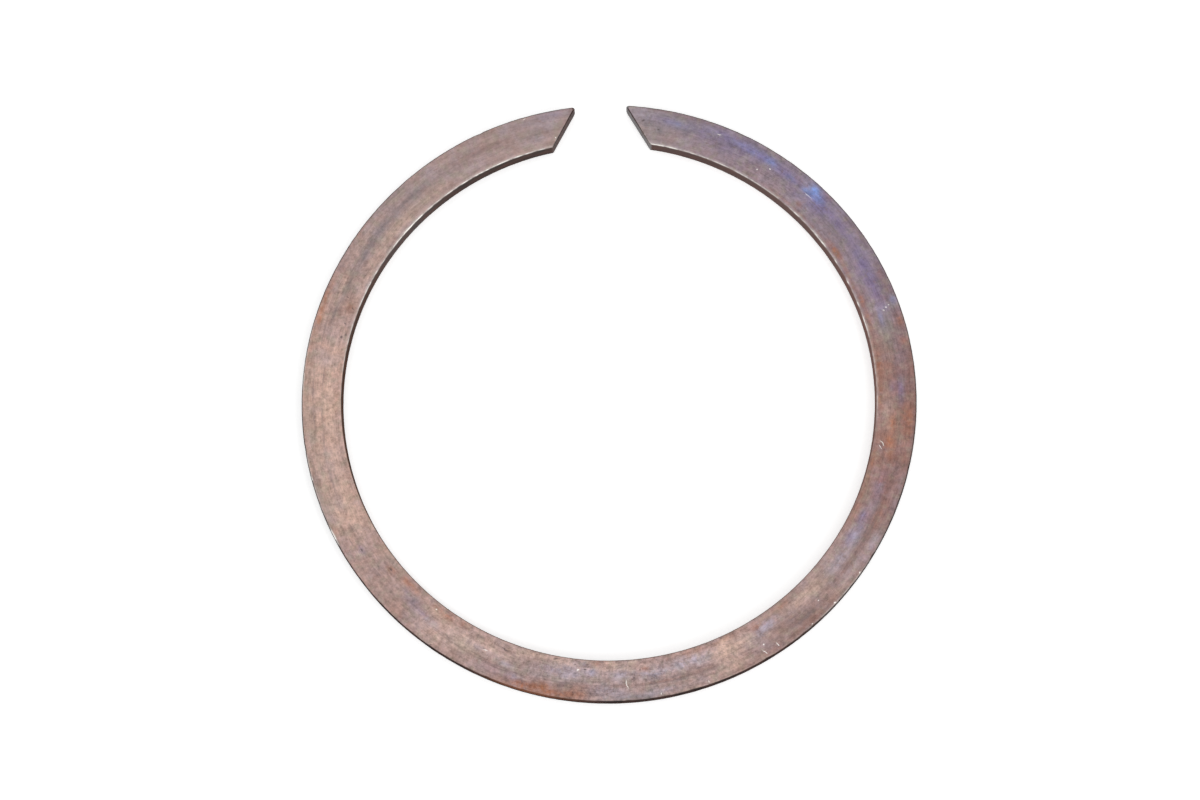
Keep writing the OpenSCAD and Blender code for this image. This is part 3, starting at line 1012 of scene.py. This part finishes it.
def torn_outline(tree, wire, space):
    """Places moved about by noise, so that what is drawn there gets a torn outline."""
    shake = add_node(tree, "ShaderNodeTexNoise")
    dial(shake, Scale=1)
    plug(tree, shake.inputs["Vector"], scaled(tree, space, cells_of(TORN_SPECK_MM), seed=29))
    centred = add_node(tree, "ShaderNodeVectorMath", operation="SUBTRACT")
    plug(tree, centred.inputs[0], shake.outputs["Color"])
    centred.inputs[1].default_value = (0.5, 0.5, 0.5)
    moved = add_node(tree, "ShaderNodeVectorMath", operation="MULTIPLY_ADD")
    plug(tree, moved.inputs[0], centred.outputs[0])
    moved.inputs[1].default_value = (TORN_REACH,) * 3
    plug(tree, moved.inputs[2], wire)
    return moved.outputs[0]


def marks(tree, wire, places_of_marks):
    """1 in the middle of each mark on the upper face, 0 at its rim and beyond."""
    found = 0.0
    for at_turn, at_across, length, width, lean in places_of_marks:
        frame_of_mark = add_node(tree, "ShaderNodeMapping", vector_type="TEXTURE")
        plug(tree, frame_of_mark.inputs["Vector"], wire)
        dial(
            frame_of_mark,
            Location=(math.radians(at_turn) * MIDDLE_R, at_across * WIDTH, THICKNESS),
            Rotation=(0, 0, math.radians(lean)),
            Scale=(length * MM / 2, width * MM / 2, MARK_DEPTH),
        )
        ball = add_node(tree, "ShaderNodeTexGradient", gradient_type="SPHERICAL")
        plug(tree, ball.inputs[0], frame_of_mark.outputs[0])
        found = calculate(tree, "MAXIMUM", found, ball.outputs["Fac"])
    return found


def with_marks(tree, colour, space, wire):
    """The colour under streaks, dark dots, and bright scratches and painted glints. Over 1 gives a harder
    rim.
    """
    torn = torn_outline(tree, wire, space)
    for places_of_marks, over, thickness in (
        (THIN_STREAKS, STREAK, 0.55), (DARK_MARKS, SCALE, 1.1), (BRIGHT_MARKS_AND_GLINTS, RUBBED_STEEL_AND_HIGHLIGHT, 1.5),
    ):
        colour = coat(tree, colour, over, marks(tree, torn, places_of_marks), thickness)
    return colour


# %% The walls with their painted shade, the rubbed edges with their painted highlight, and how much each part shines
WALL_BEGINS_AND_FILLS = (0.03, 0.28)
MOST_METAL = 0.6
MOST_GLOSS = 0.5
SMOOTHEST = 0.36
ROUGHER_IN_SPOTS = 0.2
ROUGHER_ON_WALLS = 0.25
SMOOTHER_WHERE_RUBBED = 0.25


def wall_oxide_and_shade(tree, wire, along, across):
    """The dull skin of the walls, dark oxide with painted shade: brown inside, nearly black outside, with
    drips and rust.
    """
    oxide_and_shade = round_the_ring(tree, along, INNER_WALL_ROUND_THE_RING)
    oxide_and_shade = blend(tree, across, oxide_and_shade, OUTER_WALL_OXIDE_AND_SHADE)
    oxide_and_shade = coat(tree, oxide_and_shade, ORANGE_RUST, painted(tree, "orange_rust"), 0.5)
    drips = noise(tree, wire, streaks_of(2.5, 1.2), seed=91, detail=4, low=0.35, high=0.7)
    return coat(tree, oxide_and_shade, BROWN_RUST, drips, 0.3)


def broken_rub_and_highlight(tree, wire):
    """The edges worn bright, with their painted highlight, brighter and duller in short lengths."""
    lengths = noise(tree, wire, streaks_of(1.3, 0.4), seed=97, low=0.4, high=0.62)
    lengths = plus(tree, times(tree, lengths, 1.4), 0.5)
    return times(tree, painted(tree, "edge_rubbed_and_highlit"), lengths, clamp=True)


def shine(tree, shader, space, on_wall, rubbed_and_highlit):
    """Metal and gloss on the faces, smoother on the worn, highlit edge lines, and none on the walls."""
    polished = calculate(tree, "SUBTRACT", 1, on_wall, clamp=True)
    polished = calculate(tree, "MAXIMUM", polished, rubbed_and_highlit)
    plug(tree, shader.inputs["Metallic"], times(tree, polished, MOST_METAL))
    gloss = times(tree, polished, MOST_GLOSS)
    plug(tree, shader.inputs["Specular IOR Level"], gloss)
    spots = noise(tree, space, cells_of(1.8), seed=103, detail=4)
    rough = plus(tree, times(tree, spots, ROUGHER_IN_SPOTS), SMOOTHEST)
    duller = times(tree, on_wall, ROUGHER_ON_WALLS)
    brighter = times(tree, rubbed_and_highlit, SMOOTHER_WHERE_RUBBED)
    rough = calculate(tree, "SUBTRACT", plus(tree, rough, duller), brighter)
    plug(tree, shader.inputs["Roughness"], rough)


# %% The whole skin
def spring_steel_skin():
    """The finish of every face of the ring but the two sheared ends."""
    made, tree, shader = new_material("oxidised_spring_steel_skin")
    space, wire, along, across = places(tree)
    colour = bare_skin(tree, space, along, across)
    colour = with_painted_finishes(tree, colour, space)
    pits = noise(tree, space, cells_of(0.6), seed=71, low=0.6, high=0.74)
    colour = coat(tree, colour, BROWN_RUST, pits, 0.35)
    colour = uneven(tree, colour, space, wire, along)
    colour = with_marks(tree, colour, space, wire)

    on_wall = stretch(tree, painted(tree, "wall"), *WALL_BEGINS_AND_FILLS, "SMOOTHSTEP")
    # Oxide and painted shade: the walls and the outer part of each rounding take the dark wall colour.
    colour = blend(tree, on_wall, colour, wall_oxide_and_shade(tree, wire, along, across))
    rubbed_and_highlit = broken_rub_and_highlight(tree, wire)
    # Painted highlight: the line along the upper edges is laid in near white.
    colour = blend(tree, rubbed_and_highlit, colour, RUBBED_STEEL_AND_HIGHLIGHT)
    plug(tree, shader.inputs["Base Color"], colour)
    shine(tree, shader, space, on_wall, rubbed_and_highlit)

    grain = noise(tree, space, cells_of(0.3), seed=109)
    rolled = noise(tree, wire, streaks_of(6, 0.25), seed=113)
    relief = plus(tree, grain, times(tree, rolled, 0.6))
    relief = calculate(tree, "SUBTRACT", relief, times(tree, pits, 0.8))
    plug(tree, shader.inputs["Normal"], bump(tree, relief, strength=0.35, depth_mm=0.03))
    return made


ring.data.materials.clear()
ring.data.materials.append(spring_steel_skin())
print("skin nodes:", len(ring.data.materials[0].node_tree.nodes))

# %% [markdown]
# ## The sheared ends
#
# The wire was cut after winding, so each end shows a torn, greyer face with the marks of the
# shear running down it. The right-hand one is grey and the left-hand one darker brown. It is a
# material of its own, given to the faces that lie on the cuts, on their broken rims and round the
# blunted points.

# %% Sheared steel
SHEARED_GREY = tint(142, 142, 144)
SHEARED_BROWN = tint(78, 64, 62)
SHEARED_DARK = tint(64, 56, 56)
SHEAR_MARKS_PER_METRE = (2500, 2500, 300)


def sheared_steel():
    """Dull, darker steel with fine marks running from the top to the bottom of the cut."""
    made, tree, shader = new_material("sheared_end_steel")
    space, _, along, _ = places(tree)
    shear_marks = noise(tree, space, SHEAR_MARKS_PER_METRE, seed=7, low=0.3, high=0.7)
    burr = noise(tree, space, cells_of(0.8), seed=17, low=0.35, high=0.65)
    right_half = calculate(tree, "LESS_THAN", along, 0.5)
    colour = blend(tree, right_half, SHEARED_BROWN, SHEARED_GREY)
    colour = coat(tree, colour, SHEARED_DARK, shear_marks, 0.6)
    colour = coat(tree, colour, BROWN_RUST, burr, 0.25)
    plug(tree, shader.inputs["Base Color"], colour)
    dial(shader, Metallic=0.1, Specular_IOR_Level=0.1, Roughness=0.65)
    plug(tree, shader.inputs["Normal"], bump(tree, shear_marks, strength=0.4, depth_mm=0.05))
    return made


ring.data.materials.append(sheared_steel())
print("materials on the ring:", [material.name for material in ring.data.materials])

# %% Give it to the faces of the two ends
CUT_DEPTH = 0.8 * END_BREAK
LEVEL_FACE = 0.9
cut_faces = 0
for face in ring.data.polygons:
    out_of_middle = radius_of(face.center)
    face_turn = math.degrees(turn_of(face.center.x, face.center.y))
    behind = behind_the_cut(face_turn, (out_of_middle - INNER_R) / WIDTH)
    on_the_point = behind < POINT_BREAK and out_of_middle > OUTER_R - POINT_BREAK
    if abs(face.normal.z) < LEVEL_FACE and (behind < CUT_DEPTH or on_the_point):
        face.material_index = 1
        cut_faces += 1
print("sheared faces:", cut_faces)

# %% [markdown]
# ## Floor and light
#
# The ring lies on a plain white floor under a white sky, with one big soft lamp low on the near
# right. The sky alone would look flat, and the lamp lights the far inner edge, where the bright
# line is also painted into the colour as a highlight. The floor and the sky add white for the
# camera and for reflections only, so the background stays white while the light on the ring stays
# at a plain level.

# %% White sky
SKY_LIGHT = 0.77
WHITE = (1, 1, 1, 1)


def seen_directly(tree):
    """1 for what the camera, a reflection or glass sees, 0 for light that falls on things."""
    path = add_node(tree, "ShaderNodeLightPath")
    direct = calculate(tree, "MAXIMUM", path.outputs["Is Camera Ray"], path.outputs["Is Glossy Ray"])
    return calculate(tree, "MAXIMUM", direct, path.outputs["Is Transmission Ray"])


sky = bpy.data.worlds.new("white_sky")
sky.use_nodes = True
bpy.context.scene.world = sky
background = sky.node_tree.nodes["Background"]
dial(background, Color=WHITE)
strength = calculate(sky.node_tree, "MULTIPLY_ADD", seen_directly(sky.node_tree), 1 - SKY_LIGHT)
strength.node.inputs[2].default_value = SKY_LIGHT
plug(sky.node_tree, background.inputs["Strength"], strength)
print("sky lights things at", SKY_LIGHT, "and is seen at 1")

# %% Lamp
LAMP_WATTS = 0.9
LAMP_SIZE = 0.30
LAMP_PLACE = Vector((0.34, -0.42, 0.40))

bpy.ops.object.light_add(type="AREA", location=LAMP_PLACE)
lamp = bpy.context.object
lamp.name = "soft_lamp"
lamp.data.energy = LAMP_WATTS
lamp.data.size = LAMP_SIZE
lamp.rotation_euler = LAMP_PLACE.to_track_quat("Z", "Y").to_euler()
print("lamp at, mm:", [round(c / MM) for c in lamp.location])

# %% Floor
FLOOR_SIZE = 6
FLOOR_GLOW = 0.5
FLOOR_PAINT = (0.82, 0.82, 0.82, 1)

bpy.ops.mesh.primitive_plane_add(size=FLOOR_SIZE, location=(0, 0, 0))
floor = bpy.context.object
floor.name = "white_floor"
white, paint_tree, paint_shader = new_material("white_floor_paint")
dial(paint_shader, Base_Color=FLOOR_PAINT, Roughness=0.9, Specular_IOR_Level=0, Emission_Color=WHITE)
glow = times(paint_tree, seen_directly(paint_tree), FLOOR_GLOW)
plug(paint_tree, paint_shader.inputs["Emission Strength"], glow)
floor.data.materials.append(white)
print("floor", floor.name, "painted with", white.name)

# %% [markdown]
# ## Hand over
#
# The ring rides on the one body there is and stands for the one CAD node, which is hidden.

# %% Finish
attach(ring, "root")
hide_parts(NODE)

bpy.context.scene.view_settings.view_transform = "Standard"
